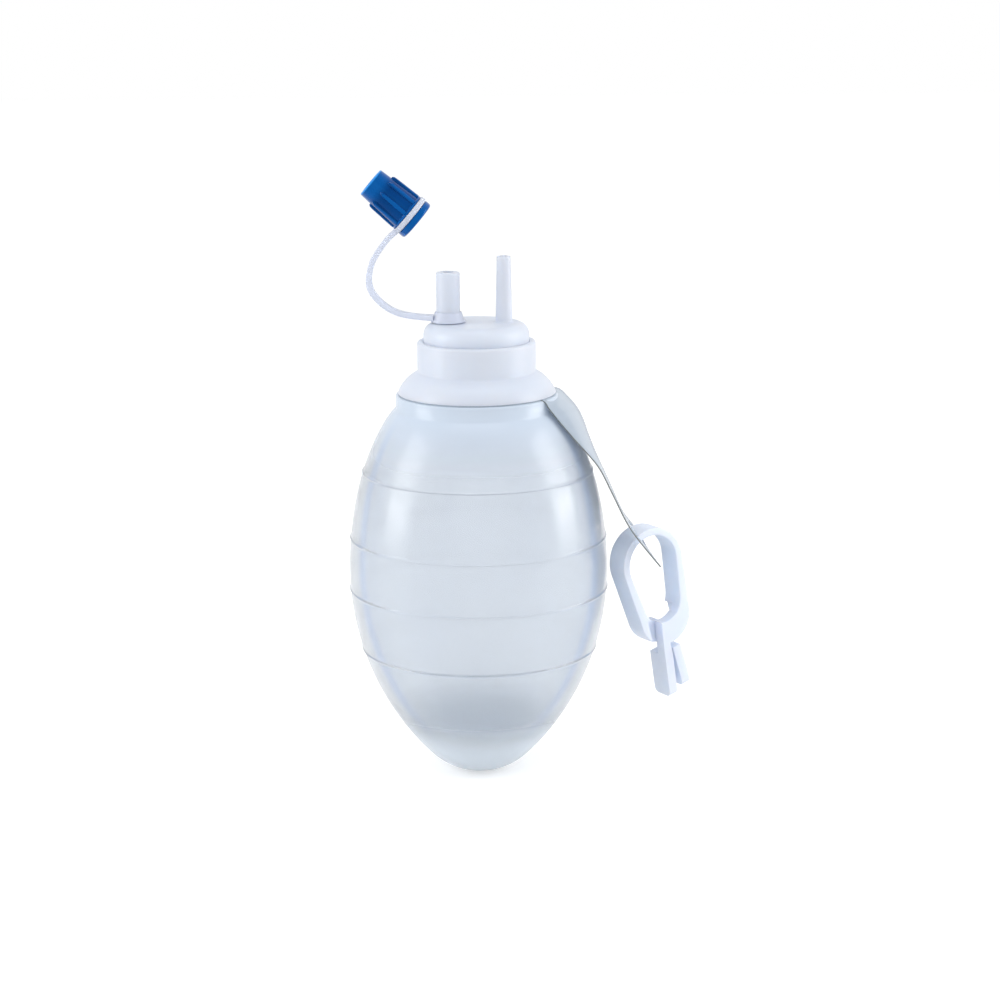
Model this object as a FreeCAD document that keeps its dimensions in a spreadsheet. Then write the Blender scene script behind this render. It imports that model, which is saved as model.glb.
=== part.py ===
import FreeCAD, Part
import math
import os

import Sketcher

# A hand-squeezed wound drainage bulb: a clear egg-shaped bulb, a frosted neck with two ports,
# a blue cap on a tether, a film strap clamped under the neck and a plastic clip hanging from it.
# The bulb stands upright, +Z up, with the origin on its axis at the foot of the neck collar.
# All lengths are in millimetres and all angles in degrees.

os.makedirs("parts", exist_ok=True)
doc = FreeCAD.newDocument("drainage_bulb")

# Driving dimensions
DIMENSIONS = {
    # the egg-shaped bulb, a chain of tangent arcs that starts at its widest height
    "bulb_radius": 33.5,
    "shoulder_top": -9.7,
    "lower_flank_radius": 69.8,
    "lower_flank_turn": 44.7,
    "cavity_flank_turn": 33.0,
    "upper_flank_radius": 94.0,
    "upper_flank_turn": 12.7,
    "haunch_radius": 63.6,
    "haunch_turn": 17.3,
    "shoulder_radius": 21.4,
    "shoulder_turn": 15.0,
    "cavity_shoulder_turn": 26.0,
    "bulb_wall": 2.5,
    # the raised volume marks
    "mark_first_height": -73.0,
    "mark_second_height": -57.0,
    "mark_third_height": -43.4,
    "mark_fourth_height": -26.1,
    "mark_rise": 0.3,
    "mark_bead_radius": 0.5,
    # the neck of the bulb and the fitting around it
    "neck_radius": 12.9,
    "neck_bore_radius": 11.4,
    "neck_top": 6.0,
    "bond_gap": 0.05,
    "collar_radius": 15.2,
    "collar_top": 7.4,
    "collar_edge_round": 0.8,
    "flange_bottom": -5.9,
    "flange_radius": 20.3,
    "flange_round": 9.5,
    "flange_foot": -0.5,
    "flange_foot_round": 0.75,
    "flange_edge_round": 0.25,
    # the port insert
    "dome_radius": 13.55,
    "dome_top": 12.1,
    "dome_edge_round": 3.1,
    "dome_wall": 2.2,
    "plug_bottom": -3.0,
    "plug_wall": 1.55,
    "port_offset": 7.1,
    "spout_radius": 3.05,
    "spout_foot_radius": 3.25,
    "spout_foot_top": 14.9,
    "spout_bore_radius": 1.65,
    "spout_top": 25.0,
    "spout_lip_round": 0.4,
    "inlet_foot_radius": 2.17,
    "inlet_tip_radius": 1.78,
    "inlet_bore_radius": 1.0,
    "inlet_top": 28.95,
    "inlet_lip_round": 0.25,
    "inlet_foot_round": 0.7,
    "nipple_radius": 1.7,
    "nipple_length": 4.3,
    # the one-way valve under the inlet
    "valve_radius": 2.45,
    "valve_top_gap": 0.3,
    "valve_sleeve_length": 4.8,
    "valve_web": 0.6,
    "valve_lip_length": 3.2,
    "valve_lip_thickness": 0.6,
    "valve_lip_width": 3.2,
    # the tether
    "tether_thickness": 1.4,
    "tether_width": 3.0,
    "running_gap": 0.06,
    "spout_ring_radius": 4.25,
    "spout_ring_height": 2.5,
    "spout_ring_lift": 0.25,
    "spout_ring_bevel": 0.8,
    "tether_lift": 1.35,
    "tether_rise": 7.4,
    "tether_low_bend_radius": 10.0,
    "tether_low_bend": 38.6,
    "tether_side_bend_radius": 4.5,
    "knuckle_run": 1.2,
    "knuckle_gap": 0.3,
    "pivot_x": -27.07,
    "pivot_z": 22.27,
    "cap_swing": 49.3,
    "cap_engagement": 2.1,
    "cap_ring_radius": 5.6,
    "cap_ring_side_gap": 0.07,
    # the cap, measured from its mouth
    "cap_length": 15.5,
    "cap_flange_radius": 5.35,
    "cap_flange_thickness": 1.8,
    "cap_flange_round": 0.7,
    "cap_groove_radius": 4.15,
    "cap_collar_radius": 5.2,
    "cap_collar_height": 0.7,
    "cap_barrel_radius": 4.65,
    "cap_nose_radius": 3.95,
    "cap_nose_recess_radius": 3.1,
    "cap_nose_recess": 0.8,
    "cap_nose_round": 0.3,
    "cap_mouth_radius": 3.55,
    "cap_bore_radius": 3.3,
    "cap_bore_depth": 10.5,
    "cap_stem_radius": 1.3,
    "cap_stem_recess": 3.2,
    "cap_rib_count": 8,
    "cap_rib_width": 1.1,
    "cap_rib_foot_radius": 5.2,
    "cap_rib_end_radius": 4.95,
    "cap_rib_end": 11.9,
    "cap_rib_root_radius": 3.9,
    # the film strap: a washer around the neck with a tab, ruled between a near and a far edge;
    # its lips and the height of its end are measured from the bulb's shoulder
    "film_thickness": 0.35,
    "washer_radius": 19.9,
    "film_side_gap": 0.1,
    "tab_near_side": 12.3,
    "tab_far_side": 6.1,
    "tab_root": 15.0,
    "lip_round": 1.5,
    "near_lip": -0.7,
    "near_fall": 56.5,
    "near_knee": 7.0,
    "far_lip": 0.5,
    "far_fall": 37.0,
    "far_knee": 30.0,
    "knee_radius": 5.0,
    "tail_radius": 12.0,
    "tail_angle": 52.7,
    "tail_run": 14.5,
    "tail_end_reach": 13.7,
    "tail_end_drop": 40.3,
    "eye_from_end": 9.3,
    "eye_half_height": 3.2,
    "eye_half_straight": 1.6,
    # the clip, drawn about the middle of its band where it hangs in the eye
    "clip_depth": 6.8,
    "band_thickness": 1.9,
    "ring_outer_top_radius": 9.3,
    "ring_outer_bottom_radius": 7.8,
    "ring_outer_drop": 15.4,
    "ring_hole_bottom_radius": 5.7,
    "ring_hole_drop": 11.3,
    "clip_tail_gap": 0.3,
    "front_split_left": -5.9,
    "front_split_right": -1.9,
    "back_split_right": 5.5,
    "split_top": 23.0,
    "lever_top": 34.3,
    "lever_length": 11.6,
    "lever_thickness": 2.5,
    "near_lever_top_side": -2.0,
    "near_lever_foot_side": -3.4,
    "far_lever_top_side": 0.95,
    "far_lever_foot_side": 1.35,
    "far_lever_rise": 1.2,
    "lever_corner_round": 1.5,
    "clip_edge_round": 0.3,
    "clip_tilt": 16.0,
    "clip_yaw": 32.0,
}

# How closely a measured edge has to match the size it is found by
MATCH = 0.001

sheet = doc.addObject("Spreadsheet::Sheet", "sizes")
for row, (alias, number) in enumerate(DIMENSIONS.items(), start=1):
    sheet.set(f"A{row}", alias)
    sheet.set(f"B{row}", str(number))
    sheet.setAlias(f"B{row}", alias)
doc.recompute()


class Size:
    """A number of the model together with the sheet expression that gives it."""

    def __init__(self, value, text):
        self.value = value
        self.text = text

    def __add__(self, other):
        other = as_size(other)
        return Size(self.value + other.value, f"({self.text} + {other.text})")

    def __sub__(self, other):
        other = as_size(other)
        return Size(self.value - other.value, f"({self.text} - {other.text})")

    def __mul__(self, other):
        other = as_size(other)
        return Size(self.value * other.value, f"({self.text} * {other.text})")

    def __truediv__(self, other):
        other = as_size(other)
        return Size(self.value / other.value, f"({self.text} / {other.text})")

    def __neg__(self):
        return Size(-self.value, f"(0 - {self.text})")

    __radd__ = __add__
    __rmul__ = __mul__

    def __rsub__(self, other):
        return as_size(other) - self


def as_size(number):
    return number if isinstance(number, Size) else Size(float(number), f"{number}")


def sine(angle):
    angle = as_size(angle)
    return Size(math.sin(math.radians(angle.value)), f"sin({angle.text})")


def cosine(angle):
    angle = as_size(angle)
    return Size(math.cos(math.radians(angle.value)), f"cos({angle.text})")


def root(number):
    return Size(math.sqrt(number.value), f"sqrt({number.text})")


def along(angle):
    """The unit direction at an angle from +X towards +Z."""
    return cosine(angle), sine(angle)


class Sizes:
    """Reads a driving dimension by its name."""

    def __getattr__(self, alias):
        return Size(float(sheet.get(alias)), f"sizes.{alias}")


d = Sizes()


# Sketching and feature helpers
class Trail:
    """A closed chain of lines and arcs in a sketch, with every point bound to the sheet."""

    def __init__(self, sketch, x, z, heading=0):
        self.sketch = sketch
        self.start = (as_size(x), as_size(z))
        self.here = self.start
        self.heading = as_size(heading)
        self.pieces = []

    def line_to(self, x, z):
        there = (as_size(x), as_size(z))
        self.pieces.append(("line", self.here, there, None, None, 0))
        self.here = there

    def run(self, length):
        way = along(self.heading)
        self.line_to(self.here[0] + length * way[0], self.here[1] + length * way[1])

    def bend(self, radius, turn):
        """An arc that turns left for a positive angle and right for a negative one."""
        radius = as_size(radius)
        turn = as_size(turn)
        side = 1 if turn.value > 0 else -1
        way = along(self.heading)
        centre = (self.here[0] - side * radius * way[1], self.here[1] + side * radius * way[0])
        self.heading = self.heading + turn
        way = along(self.heading)
        there = (centre[0] + side * radius * way[1], centre[1] - side * radius * way[0])
        self.pieces.append(("arc", self.here, there, centre, radius, side))
        self.here = there

    def arc_to(self, x, z, centre, radius, side):
        there = (as_size(x), as_size(z))
        self.pieces.append(("arc", self.here, there, centre, as_size(radius), side))
        self.here = there

    def bind(self, kind, index, position, size):
        """Fix one coordinate of a point to a size, or to the sketch's axis where it is zero."""
        if size.text in ("0", "0.0"):
            axis = -2 if kind == "DistanceX" else -1
            self.sketch.addConstraint(Sketcher.Constraint("PointOnObject", index, position, axis))
            return
        rule = Sketcher.Constraint(kind, -1, 1, index, position, size.value)
        number = self.sketch.addConstraint(rule)
        self.sketch.setExpression(f"Constraints[{number}]", size.text)

    def close(self):
        """Draw the chain, joined end to start, with a last line back to the first point."""
        gap = math.hypot(
            self.here[0].value - self.start[0].value, self.here[1].value - self.start[1].value
        )
        if gap > 1e-7:
            self.line_to(*self.start)
        ends = []
        for kind, begin, end, centre, radius, side in self.pieces:
            p = FreeCAD.Vector(begin[0].value, begin[1].value, 0)
            q = FreeCAD.Vector(end[0].value, end[1].value, 0)
            if kind == "line":
                index = self.sketch.addGeometry(Part.LineSegment(p, q), False)
                ends.append((index, 1, 2))
                continue
            c = FreeCAD.Vector(centre[0].value, centre[1].value, 0)
            circle = Part.Circle(c, FreeCAD.Vector(0, 0, 1), radius.value)
            first, last = (p, q) if side > 0 else (q, p)
            arc = Part.ArcOfCircle(circle, angle_of(first - c), angle_of(last - c))
            index = self.sketch.addGeometry(arc, False)
            ends.append((index, 1, 2) if side > 0 else (index, 2, 1))
        for number, (kind, begin, end, centre, radius, side) in enumerate(self.pieces):
            index, head, tail = ends[number]
            after, after_head, after_tail = ends[(number + 1) % len(ends)]
            joint = Sketcher.Constraint("Coincident", index, tail, after, after_head)
            self.sketch.addConstraint(joint)
            self.bind("DistanceX", index, tail, end[0])
            self.bind("DistanceY", index, tail, end[1])
            if kind == "arc":
                rule = Sketcher.Constraint("Radius", index, radius.value)
                number = self.sketch.addConstraint(rule)
                self.sketch.setExpression(f"Constraints[{number}]", radius.text)
        return self.sketch


def angle_of(vector):
    return math.atan2(vector.y, vector.x)


def new_body(name):
    body = doc.addObject("PartDesign::Body", name)
    body.Label = name
    return body


def origin_plane(body, role):
    return next(f for f in body.Origin.OriginFeatures if f.Role == role)


def set_offset(item, x=None, y=None, z=None):
    for axis, size in (("x", x), ("y", y), ("z", z)):
        if size is not None:
            item.setExpression(f"AttachmentOffset.Base.{axis}", as_size(size).text)


def new_sketch(body, name, role="XZ_Plane", height=None):
    sketch = body.newObject("Sketcher::SketchObject", name)
    sketch.AttachmentSupport = [(origin_plane(body, role), "")]
    sketch.MapMode = "FlatFace"
    if height is not None:
        set_offset(sketch, z=height)
    return sketch


def new_outline(body, name, points):
    """A closed polygon in the upright plane."""
    trail = Trail(new_sketch(body, name), *points[0])
    for point in points[1:]:
        trail.line_to(*point)
    return trail.close()


def revolve(body, sketch, name, kind="Revolution"):
    feature = body.newObject(f"PartDesign::{kind}", name)
    feature.Profile = sketch
    feature.ReferenceAxis = (sketch, ["V_Axis"])
    feature.Angle = 360
    doc.recompute()
    return feature


def pad(body, sketch, name, length, both_ways=False, backwards=False):
    feature = body.newObject("PartDesign::Pad", name)
    feature.Profile = sketch
    feature.setExpression("Length", length.text)
    feature.Midplane = both_ways
    feature.Reversed = backwards
    doc.recompute()
    return feature


def primitive(body, kind, name, x, y, z, **sizes):
    """A box, cylinder or cone of a body, added or taken away, placed by its own corner or foot."""
    feature = body.newObject(f"PartDesign::{kind}", name)
    feature.AttachmentSupport = [(origin_plane(body, "XY_Plane"), "")]
    feature.MapMode = "FlatFace"
    set_offset(feature, x, y, z)
    for key, size in sizes.items():
        feature.setExpression(key, as_size(size).text)
    doc.recompute()
    return feature


def ring_edges(feature, radius, height, x=0.0):
    """The names of the circular edges of a radius at a height about an upright axis."""
    names = []
    for number, edge in enumerate(feature.Shape.Edges, start=1):
        curve = edge.Curve
        if not isinstance(curve, Part.Circle):
            continue
        near = abs(curve.Center.x - x) < MATCH and abs(curve.Center.z - height) < MATCH
        if near and abs(curve.Radius - radius) < MATCH:
            names.append(f"Edge{number}")
    return names


def fillet(body, feature, name, edges, size):
    rounded = body.newObject("PartDesign::Fillet", name)
    rounded.Base = (feature, edges)
    rounded.setExpression("Radius", size.text)
    doc.recompute()
    return rounded


# The bulb's outline, shared by its outer skin and its cavity
haunch_lean = d.upper_flank_turn + d.haunch_turn
shoulder_lean = haunch_lean + d.shoulder_turn
widest_height = (
    d.shoulder_top
    - d.upper_flank_radius * sine(d.upper_flank_turn)
    - d.haunch_radius * (sine(haunch_lean) - sine(d.upper_flank_turn))
    - d.shoulder_radius * (sine(shoulder_lean) - sine(haunch_lean))
)
shoulder_side = (
    d.bulb_radius
    - d.upper_flank_radius * (1 - cosine(d.upper_flank_turn))
    - d.haunch_radius * (cosine(d.upper_flank_turn) - cosine(haunch_lean))
    - d.shoulder_radius * (cosine(haunch_lean) - cosine(shoulder_lean))
)


def egg_trail(sketch, inset, flank_turn, shoulder_turn):
    """From the lowest point up one side, as tangent arcs about shared centres."""
    flank = d.lower_flank_radius - inset
    widest = d.bulb_radius - inset
    base_turn = 90 - flank_turn
    base_radius = (widest - flank * (1 - sine(base_turn))) / sine(base_turn)
    depth = flank * sine(flank_turn) + base_radius * (1 - cosine(base_turn))
    trail = Trail(sketch, 0, widest_height - depth)
    trail.bend(base_radius, base_turn)
    trail.bend(flank, flank_turn)
    trail.bend(d.upper_flank_radius - inset, d.upper_flank_turn)
    trail.bend(d.haunch_radius - inset, d.haunch_turn)
    trail.bend(d.shoulder_radius - inset, shoulder_turn)
    return trail


def skin_radius(height):
    """The bulb's outer radius at a height."""
    flank_end = d.upper_flank_radius * sine(d.upper_flank_turn)
    rise = height - widest_height
    if rise.value < 0:
        reach = root(d.lower_flank_radius * d.lower_flank_radius - rise * rise)
        return d.bulb_radius - d.lower_flank_radius + reach
    if rise.value < flank_end.value:
        reach = root(d.upper_flank_radius * d.upper_flank_radius - rise * rise)
        return d.bulb_radius - d.upper_flank_radius + reach
    step = d.upper_flank_radius - d.haunch_radius
    rise = rise - step * sine(d.upper_flank_turn)
    reach = root(d.haunch_radius * d.haunch_radius - rise * rise)
    return d.bulb_radius - d.upper_flank_radius + step * cosine(d.upper_flank_turn) + reach


seat_height = d.flange_bottom - d.film_thickness


def make_bulb():
    body = new_body("bulb")
    trail = egg_trail(new_sketch(body, "skin_outline"), 0, d.lower_flank_turn, d.shoulder_turn)
    trail.line_to(shoulder_side, seat_height)
    trail.line_to(d.neck_radius, seat_height)
    trail.line_to(d.neck_radius, d.neck_top)
    trail.line_to(0, d.neck_top)
    skin = revolve(body, trail.close(), "skin")
    beads = new_sketch(body, "mark_beads")
    heights = (d.mark_first_height, d.mark_second_height, d.mark_third_height, d.mark_fourth_height)
    for height in heights:
        bead_circle(beads, skin_radius(height) + d.mark_rise - d.mark_bead_radius, height)
    revolve(body, beads, "volume_marks")
    sketch = new_sketch(body, "cavity_outline")
    trail = egg_trail(sketch, d.bulb_wall, d.cavity_flank_turn, d.cavity_shoulder_turn)
    trail.line_to(d.neck_bore_radius, trail.here[1])
    trail.line_to(d.neck_bore_radius, d.neck_top)
    trail.line_to(0, d.neck_top)
    revolve(body, trail.close(), "cavity", "Groove")
    return body


def bead_circle(sketch, x, z):
    circle = Part.Circle(
        FreeCAD.Vector(x.value, z.value, 0), FreeCAD.Vector(0, 0, 1), d.mark_bead_radius.value
    )
    index = sketch.addGeometry(circle, False)
    for kind, size in (("DistanceX", x), ("DistanceY", z)):
        rule = sketch.addConstraint(Sketcher.Constraint(kind, -1, 1, index, 3, size.value))
        sketch.setExpression(f"Constraints[{rule}]", size.text)
    size = d.mark_bead_radius
    rule = sketch.addConstraint(Sketcher.Constraint("Radius", index, size.value))
    sketch.setExpression(f"Constraints[{rule}]", size.text)


# The neck fitting: a collar with a rounded flange that clamps the film strap
def make_neck_fitting():
    body = new_body("neck_fitting")
    bore = d.neck_radius + d.bond_gap
    rim = (d.flange_radius, d.flange_bottom)
    foot = (d.collar_radius, d.flange_foot)
    middle = ((rim[0] + foot[0]) / 2, (rim[1] + foot[1]) / 2)
    half = ((rim[0] - foot[0]) / 2, (rim[1] - foot[1]) / 2)
    half_length = root(half[0] * half[0] + half[1] * half[1])
    inward = root(d.flange_round * d.flange_round - half_length * half_length) / half_length
    centre = (middle[0] + inward * half[1], middle[1] - inward * half[0])
    trail = Trail(new_sketch(body, "collar_outline"), bore, d.flange_bottom)
    trail.line_to(*rim)
    trail.arc_to(foot[0], foot[1], centre, d.flange_round, 1)
    trail.line_to(d.collar_radius, d.collar_top)
    trail.line_to(d.dome_radius + d.bond_gap, d.collar_top)
    trail.line_to(d.dome_radius + d.bond_gap, d.neck_top)
    trail.line_to(bore, d.neck_top)
    collar = revolve(body, trail.close(), "collar")
    foot_edges = ring_edges(collar, d.collar_radius.value, d.flange_foot.value)
    soft_foot = fillet(body, collar, "foot_round", foot_edges, d.flange_foot_round)
    top_edges = ring_edges(soft_foot, d.collar_radius.value, d.collar_top.value)
    soft_top = fillet(body, soft_foot, "top_round", top_edges, d.collar_edge_round)
    rim_edges = ring_edges(soft_top, d.flange_radius.value, d.flange_bottom.value)
    fillet(body, soft_top, "rim_round", rim_edges, d.flange_edge_round)
    return body


# The port insert: a hollow domed plug with the emptying spout and the drain inlet
def make_port_insert():
    body = new_body("port_insert")
    plug = d.neck_bore_radius - d.bond_gap
    trail = Trail(new_sketch(body, "plug_outline"), 0, d.plug_bottom)
    trail.line_to(plug, d.plug_bottom)
    trail.line_to(plug, d.neck_top)
    trail.line_to(d.dome_radius, d.neck_top)
    trail.line_to(d.dome_radius, d.dome_top - d.dome_edge_round)
    trail.heading = as_size(90)
    trail.bend(d.dome_edge_round, 90)
    trail.line_to(0, d.dome_top)
    revolve(body, trail.close(), "plug")
    roof = d.dome_top - d.dome_wall
    core = plug - d.plug_wall
    points = [(0, d.plug_bottom), (core, d.plug_bottom), (core, roof), (0, roof)]
    revolve(body, new_outline(body, "core_outline", points), "core", "Groove")
    spout = primitive(
        body, "AdditiveCylinder", "spout", -d.port_offset, 0, roof,
        Radius=d.spout_radius, Height=d.spout_top - roof,
    )
    lip = ring_edges(spout, d.spout_radius.value, d.spout_top.value, -d.port_offset.value)
    fillet(body, spout, "spout_lip", lip, d.spout_lip_round)
    primitive(
        body, "AdditiveCylinder", "spout_foot", -d.port_offset, 0, roof,
        Radius=d.spout_foot_radius, Height=d.spout_foot_top - roof,
    )
    inlet = primitive(
        body, "AdditiveCone", "inlet", d.port_offset, 0, d.dome_top,
        Radius1=d.inlet_foot_radius, Radius2=d.inlet_tip_radius, Height=d.inlet_top - d.dome_top,
    )
    lip = ring_edges(inlet, d.inlet_tip_radius.value, d.inlet_top.value, d.port_offset.value)
    inlet = fillet(body, inlet, "inlet_lip", lip, d.inlet_lip_round)
    foot = ring_edges(inlet, d.inlet_foot_radius.value, d.dome_top.value, d.port_offset.value)
    fillet(body, inlet, "inlet_foot", foot, d.inlet_foot_round)
    primitive(
        body, "AdditiveCylinder", "valve_nipple", d.port_offset, 0, roof - d.nipple_length,
        Radius=d.nipple_radius, Height=d.nipple_length,
    )
    primitive(
        body, "SubtractiveCylinder", "spout_bore", -d.port_offset, 0, d.plug_bottom,
        Radius=d.spout_bore_radius, Height=d.spout_top - d.plug_bottom,
    )
    primitive(
        body, "SubtractiveCylinder", "inlet_bore", d.port_offset, 0, d.plug_bottom,
        Radius=d.inlet_bore_radius, Height=d.inlet_top - d.plug_bottom,
    )
    return body


# The one-way valve: a sleeve on the inlet's nipple that ends in two closed lips
def make_valve():
    body = new_body("inlet_valve")
    top = d.dome_top - d.dome_wall - d.valve_top_gap
    sleeve_foot = top - d.valve_sleeve_length
    primitive(
        body, "AdditiveCylinder", "sleeve", d.port_offset, 0, sleeve_foot,
        Radius=d.valve_radius, Height=d.valve_sleeve_length,
    )
    half_lip = d.valve_lip_thickness / 2
    lip_foot = sleeve_foot - d.valve_lip_length
    points = [
        (d.port_offset - half_lip, lip_foot),
        (d.port_offset + half_lip, lip_foot),
        (d.port_offset + d.valve_radius, sleeve_foot),
        (d.port_offset - d.valve_radius, sleeve_foot),
    ]
    pad(body, new_outline(body, "lip_outline", points), "lips", d.valve_lip_width, both_ways=True)
    primitive(
        body, "SubtractiveCylinder", "sleeve_bore", d.port_offset, 0, sleeve_foot + d.valve_web,
        Radius=d.nipple_radius + d.bond_gap, Height=d.valve_sleeve_length - d.valve_web,
    )
    return body


# A strip of even thickness in the upright plane
def ribbon(sketch, x, z, heading, steps, thickness, round_start=False, knuckle=None):
    """Follow the steps along the left side, cross the end and come back along the right side.

    A step is a run of one length or a bend of a radius and a turn. The start is a half circle
    about the first point if round_start is set, and otherwise straight. A knuckle is the radius
    of a hollow about the last point, which the end then stays outside.
    """
    half = thickness / 2
    way = along(heading)
    trail = Trail(sketch, x - half * way[1], z + half * way[0], heading)
    middle = Middle(x, z, heading)
    for number, step in enumerate(steps):
        last = number == len(steps) - 1
        if len(step) == 1:
            middle.run(step[0])
            trail.run(step[0] - hollow_depth(knuckle, half) if last and knuckle else step[0])
        else:
            middle.bend(*step)
            trail.bend(step[0] - half if step[1].value > 0 else step[0] + half, step[1])
    way = along(middle.heading)
    across = (half * way[1], -half * way[0])
    end = (middle.x + across[0], middle.z + across[1])
    if knuckle:
        back = hollow_depth(knuckle, half)
        end = (end[0] - back * way[0], end[1] - back * way[1])
        trail.arc_to(end[0], end[1], (middle.x, middle.z), knuckle, 1)
    else:
        trail.line_to(*end)
    trail.heading = middle.heading + 180
    for number, step in enumerate(reversed(steps)):
        if len(step) == 1:
            short = number == 0 and knuckle
            trail.run(step[0] - hollow_depth(knuckle, half) if short else step[0])
        else:
            trail.bend(step[0] + half if step[1].value > 0 else step[0] - half, -step[1])
    if round_start:
        trail.bend(half, -90)
        trail.bend(half, -90)
    return trail.close()


def hollow_depth(knuckle, half):
    return root(knuckle * knuckle - half * half)


class Middle:
    """Walks along the middle of a strip."""

    def __init__(self, x, z, heading):
        self.x = as_size(x)
        self.z = as_size(z)
        self.heading = as_size(heading)

    def run(self, length):
        way = along(self.heading)
        self.x = self.x + length * way[0]
        self.z = self.z + length * way[1]

    def bend(self, radius, turn):
        side = 1 if turn.value > 0 else -1
        before = along(self.heading)
        self.heading = self.heading + turn
        after = along(self.heading)
        self.x = self.x + side * radius * (after[1] - before[1])
        self.z = self.z + side * radius * (before[0] - after[0])


def walk(start, steps):
    middle = Middle(*start)
    for step in steps:
        if len(step) == 1:
            middle.run(step[0])
        else:
            middle.bend(*step)
    return middle


def fit_runs(steps, numbers, start, end):
    """Set the lengths of two straight runs so that the strip ends at a point."""
    first, second = numbers
    middle = walk(start, steps)
    reach = (end[0] - middle.x, end[1] - middle.z)
    one = along(walk(start, steps[:first]).heading)
    two = along(walk(start, steps[:second]).heading)
    area = one[0] * two[1] - one[1] * two[0]
    steps[first] = ((reach[0] * two[1] - reach[1] * two[0]) / area,)
    steps[second] = ((one[0] * reach[1] - one[1] * reach[0]) / area,)


# The tether's lower half: a ring that turns on the spout and a strip up to the bend it flexes at
def make_tether_spout_end():
    body = new_body("tether_spout_end")
    foot = d.dome_top + d.spout_ring_lift
    ring = primitive(
        body, "AdditiveCylinder", "ring", -d.port_offset, 0, foot,
        Radius=d.spout_ring_radius, Height=d.spout_ring_height,
    )
    top = foot + d.spout_ring_height
    bevel = body.newObject("PartDesign::Chamfer", "ring_bevel")
    edges = ring_edges(ring, d.spout_ring_radius.value, top.value, -d.port_offset.value)
    bevel.Base = (ring, edges)
    bevel.setExpression("Size", d.spout_ring_bevel.text)
    doc.recompute()
    start_x = -d.port_offset - (d.spout_foot_radius + d.spout_ring_radius) / 2
    start_z = d.dome_top + d.tether_lift
    first = 180 - d.tether_rise
    second = first - d.tether_low_bend
    side_bend = second - 90
    steps = [
        (as_size(0),),
        (d.tether_low_bend_radius, -d.tether_low_bend),
        (as_size(0),),
        (d.tether_side_bend_radius, -side_bend),
        (d.knuckle_run,),
    ]
    fit_runs(steps, (0, 2), (start_x, start_z, first), (d.pivot_x, d.pivot_z))
    knuckle = d.tether_thickness / 2 + d.knuckle_gap
    sketch = new_sketch(body, "strip_outline")
    ribbon(sketch, start_x, start_z, first, steps, d.tether_thickness, knuckle=knuckle)
    pad(body, sketch, "strip", d.tether_width, both_ways=True)
    primitive(
        body, "SubtractiveCylinder", "ring_bore", -d.port_offset, 0, foot,
        Radius=d.spout_foot_radius + d.running_gap, Height=d.spout_ring_height,
    )
    return body


# The cap and the tether's upper half are drawn with the cap pushed on the spout,
# and their placement then swings them open about the pivot
mouth_height = d.spout_top - d.cap_engagement
cap_ring_foot = mouth_height + d.cap_flange_thickness + d.cap_ring_side_gap


def swing_open():
    pivot = FreeCAD.Vector(d.pivot_x.value, 0, d.pivot_z.value)
    turn = FreeCAD.Rotation(FreeCAD.Vector(0, 1, 0), -d.cap_swing.value)
    return FreeCAD.Placement(FreeCAD.Vector(0, 0, 0), turn, pivot)


def make_tether_cap_end():
    body = new_body("tether_cap_end")
    primitive(
        body, "AdditiveCylinder", "ring", -d.port_offset, 0, cap_ring_foot,
        Radius=d.cap_ring_radius, Height=d.tether_thickness,
    )
    # one bend from the pivot to the ring's height, then straight into the ring
    ring_middle = cap_ring_foot + d.tether_thickness / 2
    heading = 90 - d.cap_swing
    bend_radius = (ring_middle - d.pivot_z) / (1 - cosine(heading))
    ring_side = -d.port_offset - (d.cap_ring_radius + d.cap_groove_radius) / 2
    straight = ring_side - d.pivot_x - bend_radius * sine(heading)
    steps = [(bend_radius, -heading), (straight,)]
    sketch = new_sketch(body, "strip_outline")
    ribbon(sketch, d.pivot_x, d.pivot_z, heading, steps, d.tether_thickness, round_start=True)
    pad(body, sketch, "strip", d.tether_width, both_ways=True)
    primitive(
        body, "SubtractiveCylinder", "ring_bore", -d.port_offset, 0,
        cap_ring_foot - d.tether_thickness,
        Radius=d.cap_groove_radius + d.running_gap, Height=d.tether_thickness * 3,
    )
    body.Placement = swing_open()
    return body


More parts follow.
